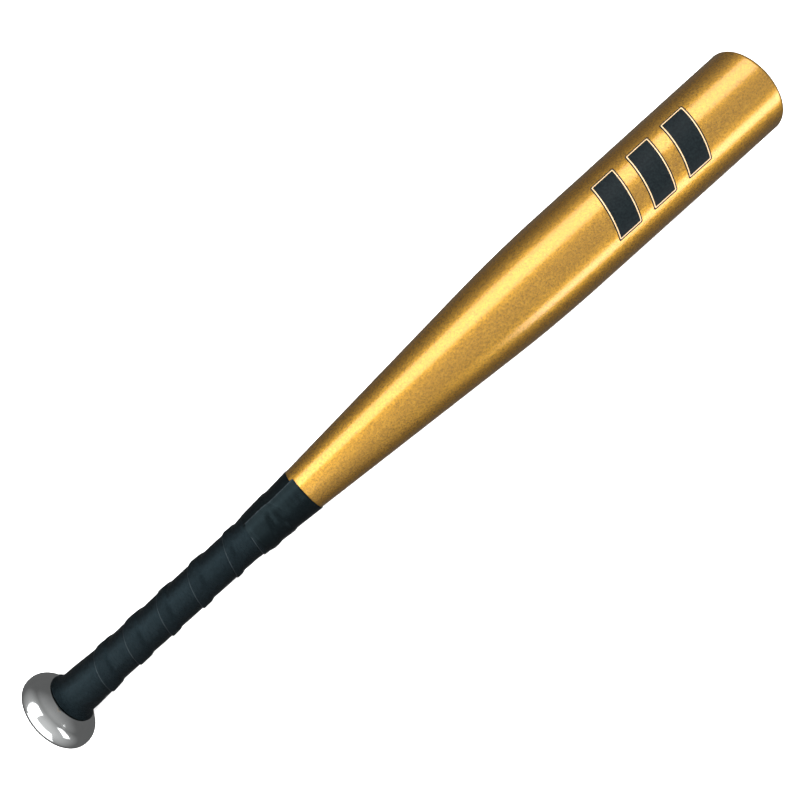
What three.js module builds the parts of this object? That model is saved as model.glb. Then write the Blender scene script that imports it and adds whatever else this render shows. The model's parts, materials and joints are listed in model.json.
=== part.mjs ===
// A short one-piece aluminium baseball bat, lying at rest on a floor. Millimetres, +Z up.
// Every piece is drawn along the bat's own axis, with the knob's base at 0 and the barrel's end
// at LENGTH. The whole bat then leans by the small angle at which it lies on its knob and barrel.

import * as THREE from 'three';

// Driving dimensions
const LENGTH = 538;
const BARREL_RADIUS = 27;
const BARREL_END_RADIUS = 27.25;
const BARREL_WALL = 2;
const TAPER_END = 368;
const TAPER_SLOPE = 0.072;
const HANDLE_RADIUS = 10.2;
const HANDLE_BORE = 7.8;
const RIM_ROUNDING = 2.6;
const MOUTH_RADIUS = 22.4;
const LIP_DEPTH = 2.6;

const KNOB_RADIUS = 24.7;
const KNOB_WAIST = 6;
const KNOB_SHOULDER = 13.9;
const KNOB_BASE_RADIUS = 14.6;
const KNOB_NECK_RADIUS = 12.8;
const KNOB_CONE_RADIUS = 21.3;
const KNOB_NECK_END = 16.3;
const KNOB_NECK_END_RADIUS = 14.9;
const KNOB_FULLNESS = 2.3;
const SPIGOT_RADIUS = 7.5;
const SPIGOT_END = 40;
const SPIGOT_BORE = 4.5;

const GAP = 0.3;
const UNDERWRAP_THICKNESS = 0.4;
const WRAP_THICKNESS = 0.65;
const WRAP_END = 176;
const FINISHING_START = 158.5;
const FINISHING_END = 196.3;
const FINISHING_THICKNESS = 0.25;

const DECAL_THICKNESS = 0.2;
const DECAL_BARS = 3;
const DECAL_START = 422;
const DECAL_PITCH = 25.5;
const DECAL_WIDTH = 17;
const DECAL_HEIGHT = 35.5;
const DECAL_SHIFT = 1.5;
const DECAL_SLANT = 0.22;

const SIDES = 48;

// Points on the taper
const TAPER_START = TAPER_END - (BARREL_RADIUS - HANDLE_RADIUS) / TAPER_SLOPE;
const taperRadius = (along) => BARREL_RADIUS - TAPER_SLOPE * (TAPER_END - along);
const HANDLE_END = KNOB_NECK_END + GAP;
const HANDLE_BLEND = 12;
const BARREL_BLEND = 32;

const finishes = {
  gold: { color: 0xc8922c, roughness: 0.38, metalness: 0.85 },
  polished: { color: 0xc9c6bd, roughness: 0.12, metalness: 1 },
  weld: { color: 0x9b9a96, roughness: 0.45, metalness: 1 },
  cushion: { color: 0x3a3a38, roughness: 0.9, metalness: 0 },
  leatherette: { color: 0x14191c, roughness: 0.5, metalness: 0 },
  tape: { color: 0x0c0e10, roughness: 0.25, metalness: 0 },
  plastic: { color: 0x1b1b1c, roughness: 0.55, metalness: 0 },
  ink: { color: 0x101010, roughness: 0.35, metalness: 0 },
};

const bat = new THREE.Group();

function add(name, geometry, finish) {
  const mesh = new THREE.Mesh(geometry, new THREE.MeshStandardMaterial(finishes[finish]));
  mesh.name = name;
  bat.add(mesh);
}

// Turns an outline of (radius, distance along the bat) about the bat's axis, which is +X.
// A flat side faces straight down, so that the turned pieces lie on it.
function turned(outline) {
  const halfStep = Math.PI / SIDES;
  const geometry = new THREE.LatheGeometry(outline, SIDES, halfStep);
  return geometry.rotateZ(-Math.PI / 2);
}

// One quarter of a rounded rim: from `from` to `to`, leaving along the bat or across it.
function rimQuarter(from, to, acrossFirst, steps) {
  const power = 2 / KNOB_FULLNESS;
  const points = [];
  for (let i = 0; i <= steps; i += 1) {
    const angle = (i / steps) * (Math.PI / 2);
    const rise = Math.sin(angle) ** power;
    const fall = 1 - Math.cos(angle) ** power;
    const across = acrossFirst ? rise : fall;
    const along = acrossFirst ? fall : rise;
    points.push(new THREE.Vector2(from.x + (to.x - from.x) * across, from.y + (to.y - from.y) * along));
  }
  return points;
}

// Barrel, taper and handle: one drawn tube, open at the handle, its mouth rolled in to a lip.
function barrelShell() {
  const blendOff = (along, length) => taperRadius(along) + length * TAPER_SLOPE;
  const boreStart = HANDLE_END + 150;
  const lipBack = LENGTH - LIP_DEPTH;
  const rimCentre = LENGTH - RIM_ROUNDING;
  const outline = new THREE.Path();
  outline.moveTo(HANDLE_BORE, HANDLE_END);
  outline.lineTo(HANDLE_RADIUS, HANDLE_END);
  outline.lineTo(HANDLE_RADIUS, TAPER_START - HANDLE_BLEND);
  outline.quadraticCurveTo(
    HANDLE_RADIUS, TAPER_START,
    blendOff(TAPER_START, HANDLE_BLEND), TAPER_START + HANDLE_BLEND,
  );
  outline.lineTo(taperRadius(TAPER_END - BARREL_BLEND), TAPER_END - BARREL_BLEND);
  outline.quadraticCurveTo(BARREL_RADIUS, TAPER_END, BARREL_RADIUS, TAPER_END + BARREL_BLEND);
  outline.lineTo(BARREL_END_RADIUS, rimCentre);
  outline.absarc(BARREL_END_RADIUS - RIM_ROUNDING, rimCentre, RIM_ROUNDING, 0, Math.PI / 2);
  outline.lineTo(MOUTH_RADIUS, LENGTH);
  outline.lineTo(MOUTH_RADIUS, lipBack);
  outline.lineTo(BARREL_END_RADIUS - BARREL_WALL, lipBack);
  outline.lineTo(BARREL_RADIUS - BARREL_WALL, TAPER_END + BARREL_BLEND);
  outline.quadraticCurveTo(
    BARREL_RADIUS - BARREL_WALL, TAPER_END,
    taperRadius(TAPER_END - BARREL_BLEND) - BARREL_WALL, TAPER_END - BARREL_BLEND,
  );
  outline.lineTo(HANDLE_BORE, boreStart);
  outline.lineTo(HANDLE_BORE, HANDLE_END);
  return turned(outline.getPoints(7));
}

// Moulded plug held behind the rolled lip: a slightly sunken face, a flange and a hollow skirt.
function endCap() {
  const face = LENGTH - 0.8;
  const faceRadius = MOUTH_RADIUS - GAP;
  const flangeFront = LENGTH - LIP_DEPTH - GAP;
  const flangeBack = flangeFront - 2.5;
  const flangeRadius = BARREL_END_RADIUS - BARREL_WALL - GAP;
  const skirtEnd = LENGTH - 26;
  const skirtRadius = faceRadius;
  const skirtBore = skirtRadius - 2.4;
  const floor = flangeBack - 1;
  const outline = new THREE.Path();
  outline.moveTo(0, floor);
  outline.lineTo(skirtBore, floor);
  outline.lineTo(skirtBore, skirtEnd);
  outline.lineTo(skirtRadius - 0.8, skirtEnd);
  outline.lineTo(skirtRadius, skirtEnd + 4);
  outline.lineTo(skirtRadius, flangeBack);
  outline.lineTo(flangeRadius, flangeBack);
  outline.lineTo(flangeRadius, flangeFront);
  outline.lineTo(faceRadius, flangeFront);
  outline.lineTo(faceRadius, face - 0.6);
  outline.lineTo(faceRadius - 0.6, face);
  outline.lineTo(15, face);
  outline.lineTo(14, face - 0.8);
  outline.lineTo(0, face - 0.8);
  return turned(outline.getPoints(1));
}

// Turned knob with a flat base, a full round rim and a spigot that fits the handle's bore.
function knob() {
  const centreDepth = 1.2;
  const centreRadius = 1.7;
  const drillTip = KNOB_WAIST + 2;
  const base = new THREE.Vector2(KNOB_BASE_RADIUS, 0);
  const widest = new THREE.Vector2(KNOB_RADIUS, KNOB_WAIST);
  const shoulder = new THREE.Vector2(KNOB_NECK_RADIUS, KNOB_SHOULDER);
  const outline = [
    new THREE.Vector2(0, centreDepth),
    new THREE.Vector2(centreRadius, 0),
    ...rimQuarter(base, widest, true, 9),
    ...rimQuarter(widest, shoulder, false, 9).slice(1).filter((point) => point.x > KNOB_CONE_RADIUS),
    new THREE.Vector2(KNOB_NECK_END_RADIUS, KNOB_NECK_END),
    new THREE.Vector2(SPIGOT_RADIUS, KNOB_NECK_END),
    new THREE.Vector2(SPIGOT_RADIUS, SPIGOT_END - 1),
    new THREE.Vector2(SPIGOT_RADIUS - 1, SPIGOT_END),
    new THREE.Vector2(SPIGOT_BORE, SPIGOT_END),
    new THREE.Vector2(SPIGOT_BORE, drillTip + 2),
    new THREE.Vector2(0, drillTip),
  ];
  return turned(outline);
}

// Fillet of weld metal in the corner between the handle's end and the knob's shoulder.
function knobWeld() {
  const legAcross = 1.5;
  const legAlong = 2.2;
  const inner = HANDLE_RADIUS + GAP;
  const start = KNOB_NECK_END + GAP;
  const outline = new THREE.Path();
  outline.moveTo(inner, start);
  outline.lineTo(inner + legAcross, start);
  outline.quadraticCurveTo(inner + legAcross, start + legAlong, inner, start + legAlong);
  outline.lineTo(inner, start);
  return turned(outline.getPoints(4));
}

// Thin cushion layer stuck to the bare handle, below the taper.
function gripUnderwrap() {
  const inner = HANDLE_RADIUS + GAP;
  const outer = inner + UNDERWRAP_THICKNESS;
  const start = KNOB_NECK_END + 3.6;
  const end = TAPER_START - HANDLE_BLEND;
  const outline = [
    new THREE.Vector2(inner, start),
    new THREE.Vector2(outer, start),
    new THREE.Vector2(outer, end),
    new THREE.Vector2(inner, end),
    new THREE.Vector2(inner, start),
  ];
  return turned(outline);
}

// Leatherette grip, the outer shape of the wound strip: flared over the knob's shoulder,
// doubled over the first turn, then one layer up the handle and on to the start of the taper.
function gripWrap() {
  const inner = HANDLE_RADIUS + UNDERWRAP_THICKNESS + 2 * GAP;
  const outer = inner + WRAP_THICKNESS;
  const doubled = outer + WRAP_THICKNESS + 0.2;
  const flareInner = KNOB_NECK_RADIUS;
  const flareOuter = 15.3;
  const flareStart = KNOB_NECK_END + GAP;
  const flareEnd = KNOB_NECK_END + 6;
  const doubledEnd = 42;
  const onTaper = TAPER_START + (UNDERWRAP_THICKNESS + 2 * GAP) / TAPER_SLOPE;
  const outline = new THREE.Path();
  outline.moveTo(flareInner, flareStart);
  outline.lineTo(flareOuter - 0.5, flareStart);
  outline.lineTo(flareOuter, flareStart + 0.5);
  outline.lineTo(flareOuter - 0.3, flareStart + 1.1);
  outline.quadraticCurveTo(doubled + 0.1, flareStart + 2.4, doubled - 0.2, flareEnd);
  outline.lineTo(doubled, doubledEnd);
  outline.quadraticCurveTo(outer + 0.1, doubledEnd + 3, outer, doubledEnd + 8);
  outline.lineTo(outer, onTaper - GAP / TAPER_SLOPE);
  outline.lineTo(taperRadius(WRAP_END) + GAP + WRAP_THICKNESS, WRAP_END);
  outline.lineTo(taperRadius(WRAP_END) + GAP, WRAP_END);
  outline.lineTo(inner, onTaper - GAP / TAPER_SLOPE);
  outline.lineTo(inner, flareEnd);
  outline.lineTo(flareInner, flareStart + 2.4);
  outline.lineTo(flareInner, flareStart);
  return turned(outline.getPoints(4));
}

// Band of tape that closes the grip: it starts on the wrap and ends on the bare taper.
function finishingTape() {
  const onWrap = 2 * GAP + WRAP_THICKNESS;
  const stepEnd = WRAP_END + 3;
  const level = (along, lift) => new THREE.Vector2(taperRadius(along) + lift, along);
  const outline = [
    level(FINISHING_START, onWrap),
    level(FINISHING_START, onWrap + FINISHING_THICKNESS),
    level(WRAP_END + 1, onWrap + FINISHING_THICKNESS),
    level(stepEnd + 1, GAP + FINISHING_THICKNESS),
    level(FINISHING_END, GAP + FINISHING_THICKNESS),
    level(FINISHING_END, GAP),
    level(stepEnd, GAP),
    level(WRAP_END + 1, onWrap),
    level(FINISHING_START, onWrap),
  ];
  return turned(outline);
}

// One slanted printed bar: a thin flat film, bent round the top of the barrel.
function decalBar(start) {
  const stepsRound = 12;
  const film = new THREE.BoxGeometry(DECAL_WIDTH, DECAL_HEIGHT, DECAL_THICKNESS, 1, stepsRound, 1);
  const place = film.getAttribute('position');
  const middle = BARREL_END_RADIUS + GAP + DECAL_THICKNESS / 2;
  for (let i = 0; i < place.count; i += 1) {
    const round = (place.getY(i) + DECAL_SHIFT) / middle;
    const radius = middle + place.getZ(i);
    const along = start + DECAL_WIDTH / 2 + place.getX(i) + DECAL_SLANT * place.getY(i);
    place.setXYZ(i, along, radius * Math.sin(round), radius * Math.cos(round));
  }
  return film;
}

add('barrel_shell', barrelShell(), 'gold');
add('end_cap', endCap(), 'plastic');
add('knob', knob(), 'polished');
add('knob_weld', knobWeld(), 'weld');
add('grip_underwrap', gripUnderwrap(), 'cushion');
add('grip_wrap', gripWrap(), 'leatherette');
add('finishing_tape', finishingTape(), 'tape');
for (let i = 0; i < DECAL_BARS; i += 1) {
  add(`decal_bar_${i + 1}`, decalBar(DECAL_START + i * DECAL_PITCH), 'ink');
}

// The bat lies on the knob's rim and on the barrel: it leans by the steepest line that runs
// from the rim to a point of the barrel's underside.
function restLean() {
  const blend = (steps) => {
    const points = [];
    for (let i = 0; i <= steps; i += 1) {
      const t = i / steps;
      const along = TAPER_END + BARREL_BLEND * (2 * t - 1);
      points.push([along, BARREL_RADIUS - TAPER_SLOPE * BARREL_BLEND * (1 - t) ** 2]);
    }
    return points;
  };
  const leans = blend(7).map(([along, radius]) => (radius - KNOB_RADIUS) / (along - KNOB_WAIST));
  return Math.atan(Math.max(...leans));
}

const lying = new THREE.Group();
lying.add(bat);
bat.rotation.y = -restLean();

// The origin is below the middle of the bat, on the floor.
lying.updateMatrixWorld(true);
const extent = new THREE.Box3().setFromObject(lying, true);
const centre = extent.getCenter(new THREE.Vector3());
bat.position.set(-centre.x, -centre.y, -extent.min.z);

export default lying;
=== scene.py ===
"""A short aluminium baseball bat at rest on a pale floor, seen from straight above.

Every piece is drawn in the bat's own terms: `along` is the distance from the knob's base in
millimetres, `radius` the distance from the bat's axis, and `turn` the angle round the axis in
turns, 0 on top and growing towards +Y. place() puts such a point into the shared frame.
"""

import json
import math

import bmesh
import bpy
from mathutils import Matrix, Vector, noise


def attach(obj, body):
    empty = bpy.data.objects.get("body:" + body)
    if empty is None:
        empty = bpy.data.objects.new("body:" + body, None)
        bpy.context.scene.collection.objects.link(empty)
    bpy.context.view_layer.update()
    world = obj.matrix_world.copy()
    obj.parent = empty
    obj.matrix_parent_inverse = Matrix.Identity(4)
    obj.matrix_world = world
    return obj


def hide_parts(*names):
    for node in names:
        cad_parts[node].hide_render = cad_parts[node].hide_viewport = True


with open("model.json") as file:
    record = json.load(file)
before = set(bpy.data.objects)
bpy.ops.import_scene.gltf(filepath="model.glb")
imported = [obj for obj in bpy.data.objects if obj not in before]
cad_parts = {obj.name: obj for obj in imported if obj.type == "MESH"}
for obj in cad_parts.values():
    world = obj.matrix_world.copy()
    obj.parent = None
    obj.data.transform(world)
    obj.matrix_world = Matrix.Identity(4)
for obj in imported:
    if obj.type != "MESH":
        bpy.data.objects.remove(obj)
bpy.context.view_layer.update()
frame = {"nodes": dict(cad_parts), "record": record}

MM = 0.001
SIDES = 192

# The metal
LENGTH = 538
BARREL_RADIUS = 27
BARREL_END_RADIUS = 27.25
BARREL_WALL = 2
TAPER_END = 368
TAPER_SLOPE = 0.072
HANDLE_RADIUS = 10.2
HANDLE_BORE = 7.8
RIM_ROUNDING = 2.6
MOUTH_RADIUS = 22.4
LIP_DEPTH = 2.6
HANDLE_BLEND = 12
BARREL_BLEND = 32
TAPER_START = TAPER_END - (BARREL_RADIUS - HANDLE_RADIUS) / TAPER_SLOPE

KNOB_RADIUS = 24.7
KNOB_WAIST = 6
KNOB_SHOULDER = 13.9
KNOB_BASE_RADIUS = 14.6
KNOB_NECK_RADIUS = 12.8
KNOB_CONE_RADIUS = 21.3
KNOB_NECK_END = 16.3
KNOB_NECK_END_RADIUS = 14.9
KNOB_FULLNESS = 2.3
KNOB_CONE_BULGE = 0.175
HANDLE_GAP = 0.3
LIP_ROUNDING = 0.7
SPIGOT_RADIUS = 7.5
SPIGOT_END = 40
SPIGOT_BORE = 4.5
BASE_MOUNT_RADIUS = 8

# The grip
CORE_RADIUS = 11.2
STRIP_WIDTH = 30.5
STRIP_THICKNESS = 0.62
GRIP_START = 16.6
COLLAR_FLARE = 3.0
COLLAR_LENGTH = 5.4
FIRST_TURN = -0.7
COLLAR_TURN = 0.7
GRIP_END = 176
FIRST_EDGE = 42
FIRST_PITCH = 22.6
PITCH_GROWTH = 0.43
PITCH_WAVER = 0.6
LAST_TURN = 6.1
LAST_PITCH = 17
TAPE_START = 158.5
TAPE_END = 196.6
TAPE_THICKNESS = 0.22
TAPE_TURNS = 1.45
TAPE_DRAPE = 0.16
TAPE_CURL = 0.3
FOLD_DEPTH = 0.24
FOLD_HALF_WIDTH = 0.7
FOLD_ANGLES = (-30, 40)
FOLDS = ((171.5, -0.055), (177.0, -0.125))

# The printed bars
BAR_COUNT = 3
BAR_START = 422
BAR_PITCH = 25.5
BAR_WIDTH = 17
BAR_HEIGHT = 35.5
BAR_SHIFT = 1.5
BAR_SLANT = 0.22

# The camera: straight above the middle of the bat, the bat rising across the picture
VIEW_ALONG = 270.8
VIEW_DISTANCE = 469.9
VIEW_SIDE = 1.08
VIEW_ROLL = 42.04
LENS = 36.81
SENSOR = 36

# The studio
ROOM_LOW_EDGE = -0.3
ROOM_LOW_GREY = 0.12
ROOM_HIGH_GREY = 0.62
OVERHEAD_POWER = 135
KEY_POWER = 11
FILL_POWER = 4.5
END_POWER = 12


# ---------------------------------------------------------------- the bat's own frame


def bat_axes():
    """The point on the axis at the knob's base, and the directions along, across and up."""
    mounts = {mount["name"]: mount for mount in frame["record"]["mounts"]}
    base = mounts["knob_base"]
    along = -Vector(base["axis"]).normalized()
    side = Vector((0, 1, 0))
    up = along.cross(side)
    return Vector(base["pos_m"]) - up * BASE_MOUNT_RADIUS * MM, along, side, up


START, ALONG, SIDE, UP = bat_axes()


def place(along, radius, turn):
    angle = turn * math.tau
    out = UP * math.cos(angle) + SIDE * math.sin(angle)
    return START + (ALONG * along + out * radius) * MM


def smooth(low, high, value):
    """0 below low, 1 above high, and an even S between them."""
    t = min(1.0, max(0.0, (value - low) / (high - low)))
    return t * t * (3 - 2 * t)


# ---------------------------------------------------------------- mesh helpers


def make_object(name, bm, sharp_degrees=32):
    """Turns a bmesh into a shaded object, its edges sharp where faces meet at a steep angle."""
    bmesh.ops.remove_doubles(bm, verts=bm.verts, dist=1e-7)
    bmesh.ops.recalc_face_normals(bm, faces=bm.faces)
    for face in bm.faces:
        face.smooth = True
    for edge in bm.edges:
        if len(edge.link_faces) == 2:
            edge.smooth = edge.calc_face_angle(0) < math.radians(sharp_degrees)
    mesh = bpy.data.meshes.new(name)
    bm.to_mesh(mesh)
    bm.free()
    made = bpy.data.objects.new(name, mesh)
    bpy.context.scene.collection.objects.link(made)
    return made


def grid_faces(bm, rows, wrap_rows=False, wrap_columns=False):
    """Quads between the rows of a grid of vertices."""
    row_count = len(rows)
    column_count = len(rows[0])
    for i in range(row_count if wrap_rows else row_count - 1):
        for j in range(column_count if wrap_columns else column_count - 1):
            a = rows[i][j]
            b = rows[i][(j + 1) % column_count]
            c = rows[(i + 1) % row_count][(j + 1) % column_count]
            d = rows[(i + 1) % row_count][j]
            corners = list(dict.fromkeys((a, b, c, d)))
            if len(corners) > 2:
                bm.faces.new(corners)


def turned(name, outline, closed=False):
    """Turns an outline of (radius, along) about the bat's axis."""
    bm = bmesh.new()
    rows = []
    for radius, along in outline:
        if radius < 1e-6:
            middle = bm.verts.new(place(along, 0, 0))
            rows.append([middle] * SIDES)
        else:
            rows.append([bm.verts.new(place(along, radius, k / SIDES)) for k in range(SIDES)])
    grid_faces(bm, rows, wrap_rows=closed, wrap_columns=True)
    return make_object(name, bm)


def rounded(outline, size, steps=5):
    """Rounds every corner of an outline, by `size` or by as much as its sides allow."""
    count = len(outline)
    result = []
    for i, corner in enumerate(outline):
        if i in (0, count - 1):
            result.append(corner)
            continue
        here = Vector(corner)
        before = Vector(outline[i - 1]) - here
        after = Vector(outline[i + 1]) - here
        cut = min(size, before.length * 0.45, after.length * 0.45)
        first = here + before.normalized() * cut
        last = here + after.normalized() * cut
        for k in range(steps + 1):
            t = k / steps
            point = first * (1 - t) ** 2 + here * (2 * t * (1 - t)) + last * t * t
            result.append(tuple(point))
    return result


def settle(piece, body, slot, materials, *nodes):
    """The lines every piece needs: its materials, its body and what it stands for. The slot argument is
    not used.
    """
    for material in materials:
        piece.data.materials.append(material)
    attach(piece, body)
    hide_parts(*nodes)
    return piece


# ---------------------------------------------------------------- material helpers


class Finish:
    """A node material with one Principled shader, built up by small calls."""

    def __init__(self, name):
        self.material = bpy.data.materials.new(name)
        self.material.use_nodes = True
        self.nodes = self.material.node_tree.nodes
        self.links = self.material.node_tree.links
        self.shader = next(n for n in self.nodes if n.type == "BSDF_PRINCIPLED")
        self.place = self.nodes.new("ShaderNodeTexCoord").outputs["Object"]

    def set(self, **sockets):
        for name, value in sockets.items():
            self.shader.inputs[name.replace("_", " ")].default_value = value

    def stretched(self, scale):
        """Object coordinates stretched by a factor along each axis."""
        mapping = self.nodes.new("ShaderNodeMapping")
        mapping.inputs["Scale"].default_value = scale
        self.links.new(self.place, mapping.inputs["Vector"])
        return mapping.outputs["Vector"]

    def noise(self, scale, detail=2.0, rough=0.5, stretch=(1, 1, 1), distortion=0.0):
        node = self.nodes.new("ShaderNodeTexNoise")
        node.inputs["Scale"].default_value = scale
        node.inputs["Detail"].default_value = detail
        node.inputs["Roughness"].default_value = rough
        node.inputs["Distortion"].default_value = distortion
        self.links.new(self.stretched(stretch), node.inputs["Vector"])
        return node.outputs["Fac"]

    def cells(self, scale, feature="F1", stretch=(1, 1, 1)):
        node = self.nodes.new("ShaderNodeTexVoronoi")
        node.feature = feature
        node.inputs["Scale"].default_value = scale
        self.links.new(self.stretched(stretch), node.inputs["Vector"])
        return node.outputs["Distance"]

    def ramp(self, value, *stops):
        """Maps a value through colour stops of (position, colour)."""
        node = self.nodes.new("ShaderNodeValToRGB")
        ramp = node.color_ramp
        while len(ramp.elements) < len(stops):
            ramp.elements.new(0.5)
        for element, (position, colour) in zip(ramp.elements, stops):
            element.position = position
            element.color = (*colour, 1)
        self.links.new(value, node.inputs["Fac"])
        return node.outputs["Color"]

    def span(self, value, low, high, from_low=0.0, from_high=1.0):
        """Maps a value from one range to another."""
        node = self.nodes.new("ShaderNodeMapRange")
        node.inputs["From Min"].default_value = from_low
        node.inputs["From Max"].default_value = from_high
        node.inputs["To Min"].default_value = low
        node.inputs["To Max"].default_value = high
        self.links.new(value, node.inputs["Value"])
        return node.outputs["Result"]

    def attribute(self, name):
        node = self.nodes.new("ShaderNodeAttribute")
        node.attribute_name = name
        return node.outputs["Fac"]

    def maths(self, operation, first, second):
        node = self.nodes.new("ShaderNodeMath")
        node.operation = operation
        for socket, value in zip(node.inputs, (first, second)):
            if isinstance(value, (int, float)):
                socket.default_value = value
            else:
                self.links.new(value, socket)
        return node.outputs["Value"]

    def mixed(self, factor, first, second):
        """Mixes two colours; each is a socket or a colour."""
        node = self.nodes.new("ShaderNodeMix")
        node.data_type = "RGBA"
        sockets = (node.inputs[0], node.inputs[6], node.inputs[7])
        for socket, value in zip(sockets, (factor, first, second)):
            if isinstance(value, (int, float)):
                socket.default_value = value
            elif isinstance(value, tuple):
                socket.default_value = (*value, 1)
            else:
                self.links.new(value, socket)
        return node.outputs[2]

    def bump(self, height, strength, distance, under=None):
        """Adds a bump, in metres of distance, over an earlier one."""
        node = self.nodes.new("ShaderNodeBump")
        node.inputs["Strength"].default_value = strength
        node.inputs["Distance"].default_value = distance
        self.links.new(height, node.inputs["Height"])
        if under is not None:
            self.links.new(under, node.inputs["Normal"])
        return node.outputs["Normal"]

    def feed(self, socket, source):
        self.links.new(source, self.shader.inputs[socket])


# ---------------------------------------------------------------- materials


def gold_paint():
    """Metallic gold paint: a fine flake in two sizes under clear lacquer."""
    made = Finish("gold_paint")
    made.set(Metallic=1.0, Coat_Weight=1.0, Coat_Roughness=0.13, Coat_IOR=1.8)
    fine = made.noise(2100, 1.0, 0.6)
    coarse = made.noise(820, 1.0, 0.5)
    flake = made.maths("ADD", made.maths("MULTIPLY", fine, 0.55), made.maths("MULTIPLY", coarse, 0.45))
    mottle = made.noise(26, 3.0, 0.55)
    base = made.ramp(
        flake, (0.34, (0.46, 0.22, 0.012)), (0.5, (0.78, 0.39, 0.022)), (0.66, (1.0, 0.55, 0.045))
    )
    faded = made.span(mottle, 0.0, 0.35, 0.35, 0.7)
    made.feed("Base Color", made.mixed(faded, base, (0.66, 0.32, 0.022)))
    made.feed("Roughness", made.span(flake, 0.30, 0.42, 0.3, 0.7))
    grain = made.bump(flake, 0.8, 0.00012)
    made.feed("Normal", grain)
    made.feed("Coat Normal", made.bump(flake, 0.5, 0.00012))
    return made.material


def polished_metal():
    """Polished aluminium with faint turning marks and handling scratches."""
    made = Finish("polished_aluminium")
    made.set(Metallic=1.0)
    rings = made.noise(55, 3.0, 0.6, stretch=(40, 1, 1))
    smudge = made.noise(90, 3.0, 0.6)
    made.feed("Base Color", made.ramp(smudge, (0.35, (0.84, 0.86, 0.86)), (0.65, (0.90, 0.92, 0.92))))
    made.feed("Roughness", made.span(smudge, 0.07, 0.17, 0.35, 0.7))
    marks = made.bump(rings, 0.10, 0.00004)
    scratches = made.noise(900, 2.0, 0.5, stretch=(1, 0.08, 1), distortion=0.4)
    made.feed("Normal", made.bump(made.span(scratches, 0, 1, 0.62, 0.75), 0.12, 0.00003, marks))
    return made.material


def leatherette():
    """Black synthetic leather: fine grain drawn out round the handle, duller where it is doubled."""
    made = Finish("leatherette")
    made.set(Specular_Tint=(0.50, 0.84, 1.0, 1), Specular_IOR_Level=0.27)
    grain = made.cells(1500, "DISTANCE_TO_EDGE", stretch=(1.5, 0.7, 0.7))
    streaks = made.noise(760, 3.0, 0.65, stretch=(1.1, 0.6, 0.6))
    wear = made.noise(60, 3.0, 0.6)
    black = made.ramp(streaks, (0.35, (0.0004, 0.0006, 0.0008)), (0.7, (0.0016, 0.0024, 0.003)))
    made.feed("Base Color", black)
    sheen = made.span(wear, 0.31, 0.41, 0.35, 0.7)
    made.feed("Roughness", made.maths("ADD", sheen, made.span(made.attribute("doubled"), 0.0, 0.14)))
    pores = made.bump(made.span(grain, 0, 1, 0.0, 0.12), 0.5, 0.00008)
    creases = made.bump(made.noise(260, 3.0, 0.6, stretch=(1.0, 0.6, 0.6)), 0.6, 0.0005, pores)
    made.feed("Normal", made.bump(streaks, 0.9, 0.00036, creases))
    return made.material


def cut_edge():
    """The cut edges of the strip and the tape, smoother and a little paler than their faces."""
    made = Finish("leatherette_edge")
    made.set(Specular_Tint=(0.7, 0.92, 1.0, 1), Specular_IOR_Level=0.6)
    fray = made.noise(1400, 2.0, 0.6)
    made.feed("Base Color", made.ramp(fray, (0.35, (0.001, 0.0015, 0.002)), (0.7, (0.008, 0.010, 0.012))))
    made.feed("Roughness", made.span(fray, 0.22, 0.38))
    made.feed("Normal", made.bump(fray, 0.2, 0.00005))
    return made.material


def vinyl_tape():
    """Glossy black tape, pulled tight, faintly rippled round the handle."""
    made = Finish("vinyl_tape")
    made.set(Specular_Tint=(0.55, 0.88, 1.0, 1), Specular_IOR_Level=0.24)
    ripple = made.noise(170, 2.0, 0.5, stretch=(1.2, 0.5, 0.5))
    dust = made.noise(2200, 1.0, 0.5)
    made.feed("Base Color", made.ramp(dust, (0.55, (0.0005, 0.0008, 0.001)), (0.8, (0.004, 0.006, 0.007))))
    made.feed("Roughness", made.span(ripple, 0.26, 0.40, 0.3, 0.7))
    fine = made.bump(dust, 0.08, 0.00003)
    made.feed("Normal", made.bump(ripple, 0.30, 0.0003, fine))
    return made.material


def cap_plastic():
    """Moulded black plastic with a fine spark-eroded texture."""
    made = Finish("cap_plastic")
    made.set(Specular_IOR_Level=0.25)
    texture = made.noise(2600, 2.0, 0.6)
    made.feed("Base Color", made.ramp(texture, (0.3, (0.022, 0.022, 0.024)), (0.7, (0.034, 0.034, 0.037))))
    made.feed("Roughness", made.span(texture, 0.48, 0.62))
    made.feed("Normal", made.bump(texture, 0.35, 0.00005))
    return made.material


def print_black():
    made = Finish("print_black")
    made.set(Specular_IOR_Level=0.16)
    film = made.noise(900, 2.0, 0.5)
    made.feed("Base Color", made.ramp(film, (0.35, (0.0015, 0.003, 0.004)), (0.7, (0.004, 0.007, 0.008))))
    made.feed("Roughness", made.span(film, 0.42, 0.55))
    made.feed("Normal", made.bump(film, 0.12, 0.00004))
    return made.material


def print_cream():
    made = Finish("print_cream")
    made.set(Specular_IOR_Level=0.5, Coat_Weight=0.3, Coat_Roughness=0.2)
    film = made.noise(900, 2.0, 0.5)
    made.feed("Base Color", made.ramp(film, (0.35, (0.36, 0.24, 0.125)), (0.7, (0.46, 0.33, 0.19))))
    made.feed("Roughness", made.span(film, 0.36, 0.46))
    return made.material


def cushion_tape():
    made = Finish("cushion_tape")
    felt = made.noise(1600, 3.0, 0.7)
    made.feed("Base Color", made.ramp(felt, (0.3, (0.10, 0.10, 0.095)), (0.7, (0.2, 0.2, 0.19))))
    made.feed("Roughness", made.span(felt, 0.8, 0.95))
    made.feed("Normal", made.bump(felt, 0.5, 0.0001))
    return made.material


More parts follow.
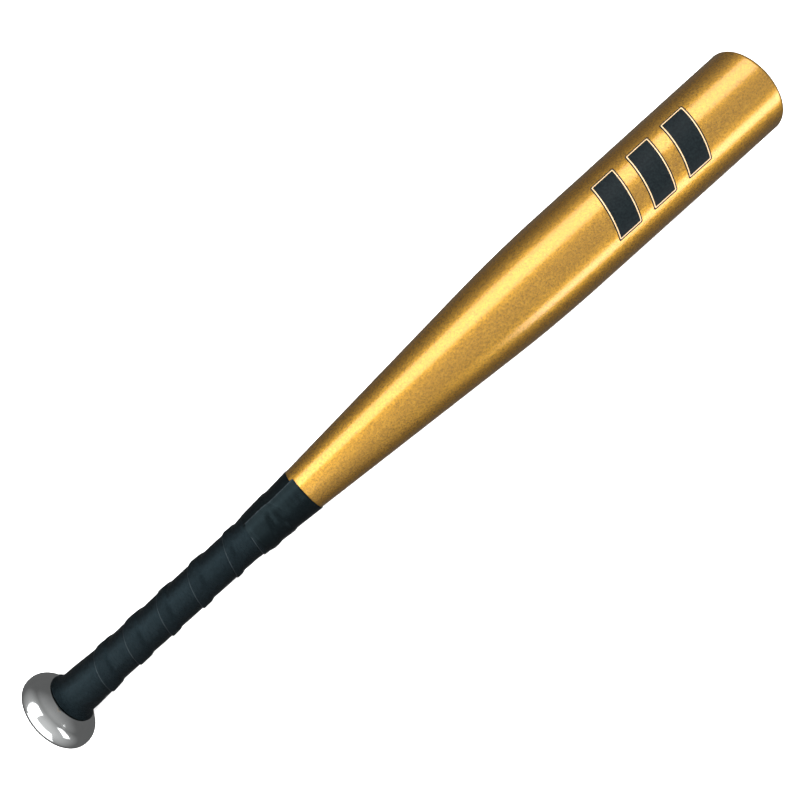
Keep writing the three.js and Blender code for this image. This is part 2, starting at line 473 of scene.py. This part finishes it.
def weld_metal():
    made = Finish("weld_aluminium")
    made.set(Metallic=1.0)
    ripple = made.noise(320, 3.0, 0.6)
    made.feed("Base Color", made.ramp(ripple, (0.3, (0.45, 0.44, 0.43)), (0.7, (0.7, 0.69, 0.68))))
    made.feed("Roughness", made.span(ripple, 0.3, 0.55))
    made.feed("Normal", made.bump(ripple, 0.6, 0.0003))
    return made.material


def floor_paint():
    made = Finish("pale_floor")
    speck = made.noise(40, 2.0, 0.5)
    made.feed("Base Color", made.ramp(speck, (0.3, (0.86, 0.86, 0.86)), (0.7, (0.88, 0.88, 0.88))))
    made.set(Roughness=1.0, Specular_IOR_Level=0.0)
    return made.material


# ---------------------------------------------------------------- the metal


def metal_radius(along):
    """Outside radius of the tube, from the handle's end up to the barrel's rim."""
    if along < TAPER_START - HANDLE_BLEND:
        return HANDLE_RADIUS
    if along < TAPER_START + HANDLE_BLEND:
        t = (along - TAPER_START + HANDLE_BLEND) / (2 * HANDLE_BLEND)
        return HANDLE_RADIUS + TAPER_SLOPE * HANDLE_BLEND * t * t
    if along < TAPER_END - BARREL_BLEND:
        return BARREL_RADIUS - TAPER_SLOPE * (TAPER_END - along)
    if along < TAPER_END + BARREL_BLEND:
        t = (along - TAPER_END + BARREL_BLEND) / (2 * BARREL_BLEND)
        return BARREL_RADIUS - TAPER_SLOPE * BARREL_BLEND * (1 - t) ** 2
    t = (along - TAPER_END - BARREL_BLEND) / (LENGTH - RIM_ROUNDING - TAPER_END - BARREL_BLEND)
    return BARREL_RADIUS + (BARREL_END_RADIUS - BARREL_RADIUS) * t


def barrel():
    """Barrel, taper and handle: one drawn tube with its mouth rolled in."""
    handle_end = KNOB_NECK_END + HANDLE_GAP
    rim_centre = LENGTH - RIM_ROUNDING
    row_step = 4.5
    rows = round((rim_centre - handle_end) / row_step)
    outline = [(HANDLE_BORE, handle_end)]
    for i in range(rows + 1):
        along = handle_end + (rim_centre - handle_end) * i / rows
        outline.append((metal_radius(along), along))
    for i in range(1, 13):
        angle = math.pi / 2 * i / 12
        radius = BARREL_END_RADIUS - RIM_ROUNDING + RIM_ROUNDING * math.cos(angle)
        outline.append((radius, rim_centre + RIM_ROUNDING * math.sin(angle)))
    for i in range(1, 7):
        angle = math.pi / 2 * i / 6
        radius = MOUTH_RADIUS + LIP_ROUNDING * (1 - math.sin(angle))
        outline.append((radius, LENGTH - LIP_ROUNDING * (1 - math.cos(angle))))
    inside = BARREL_END_RADIUS - BARREL_WALL
    outline += [(MOUTH_RADIUS, LENGTH - LIP_DEPTH), (inside, LENGTH - LIP_DEPTH)]
    for i in range(31):
        along = TAPER_END + BARREL_BLEND - (TAPER_END + BARREL_BLEND - TAPER_START) * i / 30
        outline.append((max(HANDLE_BORE, metal_radius(along) - BARREL_WALL), along))
    piece = turned("gold_barrel_shell", outline, closed=True)
    return settle(piece, "root", "gold_paint", [gold_paint()], "barrel_shell")


def rim_quarter(start, end, across_first, steps=24):
    """A quarter of the knob's full rim, fuller than an ellipse."""
    power = 2 / KNOB_FULLNESS
    points = []
    for i in range(steps + 1):
        angle = math.pi / 2 * i / steps
        rise = math.sin(angle) ** power
        fall = 1 - max(0.0, math.cos(angle)) ** power
        across, along = (rise, fall) if across_first else (fall, rise)
        points.append((start[0] + (end[0] - start[0]) * across, start[1] + (end[1] - start[1]) * along))
    return points


def knob():
    """Turned knob: full round rim, flat base with a lathe centre and a fine turned groove."""
    base = (KNOB_BASE_RADIUS, 0)
    widest = (KNOB_RADIUS, KNOB_WAIST)
    neck = (KNOB_NECK_RADIUS, KNOB_SHOULDER)
    foot = rounded([(0, 1.2), (1.7, 0.0), (9.6, 0), (10.0, 0.3), (10.4, 0.3), (10.8, 0), (13.4, 0)], 0.2)
    shoulder = [point for point in rim_quarter(widest, neck, False, 60)[1:] if point[0] > KNOB_CONE_RADIUS]
    cone = [shoulder[-1], (KNOB_NECK_END_RADIUS, KNOB_NECK_END)]
    outline = foot + rim_quarter(base, widest, True) + shoulder
    for k in range(1, 7):
        t = k / 6
        bulge = KNOB_CONE_BULGE * math.sin(math.pi * t)
        outline.append(tuple(a * (1 - t) + b * t + bulge for a, b in zip(*cone)))
    outline += [
        (SPIGOT_RADIUS, KNOB_NECK_END),
        (SPIGOT_RADIUS, SPIGOT_END - 1),
        (SPIGOT_RADIUS - 1, SPIGOT_END),
        (SPIGOT_BORE, SPIGOT_END),
        (SPIGOT_BORE, KNOB_WAIST + 4),
        (0, KNOB_WAIST + 2),
    ]
    piece = turned("polished_knob", outline)
    return settle(piece, "root", "polished_aluminium", [polished_metal()], "knob")


def end_cap():
    """Plug behind the rolled lip: a dished face with a moulded ring and a gate mark."""
    face = LENGTH - 0.8
    face_radius = MOUTH_RADIUS - 0.3
    flange_front = LENGTH - LIP_DEPTH - 0.3
    flange_back = flange_front - 2.5
    flange_radius = BARREL_END_RADIUS - BARREL_WALL - 0.3
    skirt_end = LENGTH - 26
    skirt_bore = face_radius - 2.4
    floor = flange_back - 1
    inside = [(0, floor), (skirt_bore, floor), (skirt_bore, skirt_end)]
    outside = [
        (face_radius - 0.8, skirt_end), (face_radius, skirt_end + 4), (face_radius, flange_back),
        (flange_radius, flange_back), (flange_radius, flange_front), (face_radius, flange_front),
        (face_radius, face), (19.4, face), (18.9, face - 0.5), (17.6, face - 0.5), (17.1, face),
        (15, face), (14, face - 0.8), (2.6, face - 0.8), (2.2, face - 1.2), (1.2, face - 1.2),
        (0.9, face - 0.7), (0, face - 0.7),
    ]
    piece = turned("end_cap_plug", rounded(inside + outside, 0.35, 3))
    return settle(piece, "root", "cap_plastic", [cap_plastic()], "end_cap")


# ---------------------------------------------------------------- the grip


def raw_edge(turn):
    """Where the strip's edge nearer the knob lies, `turn` turns up the winding."""
    step = min(turn, LAST_TURN - 1) - 1
    edge = FIRST_EDGE + FIRST_PITCH * step + PITCH_GROWTH * step * step
    edge -= PITCH_WAVER * math.cos(math.pi * min(turn, LAST_TURN - 1))
    return edge + LAST_PITCH * max(0.0, turn - LAST_TURN + 1)


def strip_span(turn):
    """Both edges of the strip, kept between the knob and the top of the grip."""
    low = max(GRIP_START, raw_edge(turn))
    low = GRIP_START + (low - GRIP_START) * smooth(0.32, 0.6, turn)
    return low, min(GRIP_END, raw_edge(turn) + STRIP_WIDTH)


def core(along):
    """What the strip is wound on: the cushioned handle, the taper, and the flare at the knob."""
    starter = 0.5 * (1 - smooth(38, 48, along)) + 0.62 * (1 - smooth(26, 42, along))
    flare = COLLAR_FLARE * max(0.0, 1 - (along - GRIP_START) / COLLAR_LENGTH) ** 2.4
    return max(CORE_RADIUS, metal_radius(along) + 0.03) + starter + flare


def edge_below(turn):
    """The far edge of the turn below, which the strip steps down over."""
    if turn - 1 < FIRST_TURN:
        return GRIP_START - 5
    return min(GRIP_END, raw_edge(turn - 1) + STRIP_WIDTH)


def lift(turn, along):
    """How far the strip stands up on the turn below it, from 0 to 1."""
    below = edge_below(turn)
    return 1 - smooth(below - 0.5, below + 2.1, along)


def strip_top(turn, along):
    """Outside radius of the strip's face: highest at its lower edge, dipping past the step."""
    low, high = strip_span(turn)
    below = edge_below(turn)
    roll = 0.22 * max(0.0, 1 - (along - low) / max(1.0, below - low)) if below > low else 0
    dip = 0.13 * smooth(below, below + 1.8, along) * (1 - smooth(below + 2.5, below + 9, along))
    crease = 0.09 * noise.noise(Vector((along * 0.22, turn * 9, 3.1)))
    return core(along) + STRIP_THICKNESS * (1 + lift(turn, along)) + roll - dip + crease


def strip_section(turn):
    """One cross-section of the strip, as (along, radius) once round, and its rounded corners."""
    low, high = strip_span(turn)
    width = high - low
    corner = min(0.42, width * 0.2)
    offsets = [0.0, 0.12, 0.3, 0.6, 1.0]
    across = [low + corner * o for o in offsets]
    count = 34
    across += [low + corner + (width - 2 * corner) * k / count for k in range(1, count)]
    across += [high - corner * o for o in reversed(offsets)]
    end_drop = smooth(LAST_TURN - 0.005, LAST_TURN, turn) * 0.3
    outer = []
    for along in across:
        near = min(along - low, high - along, corner) / corner
        drop = corner * 0.8 * (1 - math.sqrt(1 - (1 - near) ** 2)) if near < 1 else 0
        outer.append((along, strip_top(turn, along) - drop - end_drop))
    inner = []
    for k in range(12):
        along = high - width * k / 11
        under = core(along) + STRIP_THICKNESS * lift(turn, along) + 0.03
        inner.append((along, under))
    return outer + inner


def grip_wrap(trim):
    """The leatherette strip itself, wound up the handle with each turn on the one below."""
    per_turn = 96
    count = round((LAST_TURN - FIRST_TURN) * per_turn)
    turns = [FIRST_TURN + (LAST_TURN - FIRST_TURN) * k / count for k in range(count)]
    turns += [LAST_TURN - 0.005 + 0.005 * k / 4 for k in range(5)]
    turns.sort()
    bm = bmesh.new()
    doubled = bm.verts.layers.float.new("doubled")
    rows = []
    for turn in turns:
        row = []
        for along, radius in strip_section(turn):
            vertex = bm.verts.new(place(along, radius, turn))
            stretched = 1 - smooth(GRIP_START + 3, GRIP_START + 10, along)
            vertex[doubled] = max(stretched, 1 - smooth(edge_below(turn) - 1, edge_below(turn) + 3, along))
            row.append(vertex)
        rows.append(row)
    grid_faces(bm, rows, wrap_columns=True)
    edge_columns = 4
    sections = len(rows[0])
    collar = round((COLLAR_TURN - FIRST_TURN) * per_turn)
    for index, face in enumerate(bm.faces):
        column = index % sections
        if index > collar * sections and (column < edge_columns or column == sections - 1):
            face.material_index = 1
    for row in (rows[0], rows[-1]):
        bm.faces.new(row).material_index = 1
    piece = make_object("wound_grip_strip", bm, 60)
    return settle(piece, "root", "leatherette", [leatherette(), trim], "grip_wrap")


def grip_surface(turn, along):
    """Radius of what the tape is laid on, at an angle round the bat."""
    winding = math.floor(LAST_TURN) + (turn % 1.0) + 1
    while winding >= FIRST_TURN:
        if winding <= LAST_TURN:
            low, high = strip_span(winding)
            if low <= along <= high:
                return strip_top(winding, along)
        winding -= 1
    return metal_radius(along)


def under_tape(turn, along):
    """The tape is drawn tight over steps, so it slopes down from the highest thing close by."""
    near = [(a * 0.7, 0.006 * (a % 2)) for a in range(-5, 6)]
    return max(grip_surface(turn + t, along + a) - TAPE_DRAPE * abs(a) for a, t in near)


def tape_fold(turn, along):
    """Depth of the two folds that run out of the tape's raised end like a V."""
    angle = (turn % 1.0) * 360
    if not FOLD_ANGLES[0] < angle < FOLD_ANGLES[1]:
        return 0.0
    depth = 0.0
    for start, slope in FOLDS:
        middle = start + slope * (angle - 34)
        depth += FOLD_DEPTH * max(0.0, 1 - abs(along - middle) / FOLD_HALF_WIDTH)
    return depth * smooth(FOLD_ANGLES[0], 0, angle)


def finishing_tape(trim):
    """Tape closing the grip, wound once and nearly half again, its cut end along the bat."""
    last = LAST_TURN - 0.002
    first = last - TAPE_TURNS
    per_turn = 120
    count = round(TAPE_TURNS * per_turn)
    turns = [first + TAPE_TURNS * k / count for k in range(count)]
    turns += [last - 0.004 + 0.004 * k / 3 for k in range(4)]
    turns.sort()
    columns = 64
    bm = bmesh.new()
    rows = []
    for turn in turns:
        done = turn - first
        second = smooth(0.985, 1.03, done)
        low = TAPE_START + 1.6 * smooth(0.55, 1.4, done) - 0.5 * math.sin(done * 5)
        high = TAPE_END - 2.1 * (1 - smooth(0.55, 1.0, done)) + 0.12 * math.sin(done * 11)
        lifted = 0.05 + (TAPE_THICKNESS + 0.04) * second
        end_drop = smooth(last - 0.004, last, turn) * 0.12
        curl = TAPE_CURL * smooth(last - 0.018, last - 0.003, turn)
        outer = []
        inner = []
        for k in range(columns + 1):
            along = low + (high - low) * k / columns
            ragged = max(0.0, 0.75 + 0.9 * noise.noise(Vector((along * 0.3, 2.7, 5.1))))
            base = under_tape(turn, along) + lifted + curl * ragged
            ripple = 0.05 * noise.noise(Vector((along * 0.5, turn * 7, 8.4)))
            ripple -= second * tape_fold(turn, along)
            edge = 0.1 if k in (0, columns) else 0
            outer.append((along, base + TAPE_THICKNESS + ripple - edge - end_drop))
            inner.append((along, base))
        section = outer + inner[::-1]
        rows.append([bm.verts.new(place(along, radius, turn)) for along, radius in section])
    grid_faces(bm, rows, wrap_columns=True)
    for row in (rows[0], rows[-1]):
        bm.faces.new(row)
    bm.faces.ensure_lookup_table()
    sections = len(rows[0])
    cut_rows = 4
    for face in list(bm.faces)[(len(rows) - 1 - cut_rows) * sections:]:
        face.material_index = 1
    piece = make_object("finishing_tape_band", bm, 60)
    return settle(piece, "root", "vinyl_tape", [vinyl_tape(), trim], "finishing_tape")


# ---------------------------------------------------------------- the printed bars


def border(rows):
    """The vertices once round the outside of a grid."""
    right = [row[-1] for row in rows[1:]]
    left = [row[0] for row in rows[-2:0:-1]]
    return rows[0] + right + rows[-1][-2::-1] + left


def bar_layer(bm, start, inset, height, material):
    """One flat printed layer: a slanted bar with round corners, bent round the barrel."""
    half_width = BAR_WIDTH / 2 - inset
    half_height = BAR_HEIGHT / 2 - inset
    corner = max(0.3, 1.1 - 0.5 * inset)
    levels = []
    for k in range(9):
        angle = math.pi / 2 * k / 8
        levels.append((half_height - corner + corner * math.sin(angle), corner * (1 - math.cos(angle))))
    spread = 16
    middle = [(-levels[0][0] + 2 * levels[0][0] * k / spread, 0.0) for k in range(1, spread)]
    rows = [(-y, d) for y, d in reversed(levels)] + middle + levels
    tops = []
    bottoms = []
    for y, drawn_in in rows:
        top = []
        bottom = []
        for k in range(7):
            x = (half_width - drawn_in) * (k / 3 - 1)
            along = start + BAR_WIDTH / 2 + x + BAR_SLANT * y
            radius = metal_radius(along) + height
            turn = (y + BAR_SHIFT) / radius / math.tau
            top.append(bm.verts.new(place(along, radius, turn)))
            bottom.append(bm.verts.new(place(along, radius - 0.03, turn)))
        tops.append(top)
        bottoms.append(bottom)
    before = len(bm.faces)
    grid_faces(bm, tops)
    grid_faces(bm, bottoms)
    grid_faces(bm, [border(tops), border(bottoms)], wrap_columns=True)
    bm.faces.ensure_lookup_table()
    for face in bm.faces[before:]:
        face.material_index = material


def printed_bars(black, cream):
    for index in range(BAR_COUNT):
        start = BAR_START + index * BAR_PITCH
        bm = bmesh.new()
        bar_layer(bm, start, 0.0, 0.06, 0)
        bar_layer(bm, start, 0.72, 0.10, 1)
        bar_layer(bm, start, 1.4, 0.14, 0)
        piece = make_object(f"printed_bar_{index + 1}", bm)
        settle(piece, "root", "printed_film", [black, cream], f"decal_bar_{index + 1}")


# ---------------------------------------------------------------- stage, lights, camera


def dress_hidden_nodes():
    """The pieces that no view shows keep their CAD shape and get a finish of their own."""
    for node, finish in (("knob_weld", weld_metal()), ("grip_underwrap", cushion_tape())):
        shown = frame["nodes"][node]
        shown.data.materials.clear()
        shown.data.materials.append(finish)


def floor():
    """A pale disc, which the bat's gloss doesn't mirror and which throws no shadow of its own."""
    bm = bmesh.new()
    rings = [0.0, 0.4, 0.9, 1.6, 2.4]
    rows = []
    for radius in rings:
        if radius == 0:
            rows.append([bm.verts.new((0, 0, 0))] * 64)
        else:
            angles = [math.tau * k / 64 for k in range(64)]
            rows.append([bm.verts.new((radius * math.cos(a), radius * math.sin(a), 0)) for a in angles])
    grid_faces(bm, rows, wrap_columns=True)
    made = make_object("studio_floor", bm)
    made.data.materials.append(floor_paint())
    made.visible_glossy = False
    made.visible_shadow = False


def surroundings():
    """A plain grey room, paler towards the ceiling, and a white backdrop for the camera alone."""
    world = bpy.data.worlds.new("studio")
    bpy.context.scene.world = world
    world.use_nodes = True
    nodes = world.node_tree.nodes
    links = world.node_tree.links
    walls = next(n for n in nodes if n.type == "BACKGROUND")
    height = nodes.new("ShaderNodeSeparateXYZ")
    links.new(nodes.new("ShaderNodeTexCoord").outputs["Generated"], height.inputs["Vector"])
    shade = nodes.new("ShaderNodeMapRange")
    shade.inputs["From Min"].default_value = ROOM_LOW_EDGE
    shade.inputs["To Min"].default_value = ROOM_LOW_GREY
    shade.inputs["To Max"].default_value = ROOM_HIGH_GREY
    links.new(height.outputs["Z"], shade.inputs["Value"])
    links.new(shade.outputs["Result"], walls.inputs["Color"])
    backdrop = nodes.new("ShaderNodeBackground")
    backdrop.inputs["Color"].default_value = (1, 1, 1, 1)
    path = nodes.new("ShaderNodeLightPath")
    seen = nodes.new("ShaderNodeMixShader")
    links.new(path.outputs["Is Camera Ray"], seen.inputs["Fac"])
    links.new(walls.outputs["Background"], seen.inputs[1])
    links.new(backdrop.outputs["Background"], seen.inputs[2])
    output = next(n for n in nodes if n.type == "OUTPUT_WORLD")
    links.new(seen.outputs["Shader"], output.inputs["Surface"])


def soft_light(name, where, towards, size, power):
    """A plain white softbox."""
    data = bpy.data.lights.new(name, "AREA")
    data.shape = "RECTANGLE"
    data.size, data.size_y = size
    data.energy = power
    lamp = bpy.data.objects.new(name, data)
    lamp.location = where
    lamp.rotation_euler = (Vector(towards) - Vector(where)).to_track_quat("-Z", "Y").to_euler()
    lamp.visible_camera = False
    bpy.context.scene.collection.objects.link(lamp)
    return lamp


def lights():
    """Plain soft studio light: one panel overhead, softboxes at both sides and at the knob's end."""
    overhead = soft_light("overhead", (0, 0.2, 1.6), (0, 0, 0), (3.0, 3.0), OVERHEAD_POWER)
    overhead.visible_glossy = False
    soft_light("key", (0, 0.75, 0.85), (0, 0, 0), (2.4, 0.8), KEY_POWER)
    soft_light("fill", (0.7, -1.0, 0.45), (0.2, 0, 0), (1.2, 0.4), FILL_POWER)
    soft_light("end", (-1.1, 0, 0.8), (-0.26, 0, 0), (1.6, 1.5), END_POWER)


def camera():
    """Looks straight down at the middle of the bat, rolled so that the barrel is upper right."""
    data = bpy.data.cameras.new("camera")
    data.sensor_width = SENSOR
    data.lens = LENS
    data.clip_start = 0.01
    made = bpy.data.objects.new("camera", data)
    roll = math.radians(VIEW_ROLL)
    right = ALONG * math.cos(roll) - SIDE * math.sin(roll)
    top = ALONG * math.sin(roll) + SIDE * math.cos(roll)
    where = START + (ALONG * VIEW_ALONG + UP * VIEW_DISTANCE + SIDE * VIEW_SIDE) * MM
    made.matrix_world = Matrix.Translation(where) @ Matrix((right, top, UP)).transposed().to_4x4()
    bpy.context.scene.collection.objects.link(made)
    bpy.context.scene.camera = made


def colours_as_they_are():
    """No film look: the picture shows the colours as the materials hold them."""
    bpy.context.scene.view_settings.view_transform = "Standard"


camera()
surroundings()
lights()
floor()
barrel()
knob()
end_cap()
trim = cut_edge()
grip_wrap(trim)
finishing_tape(trim)
printed_bars(print_black(), print_cream())
dress_hidden_nodes()
colours_as_they_are()
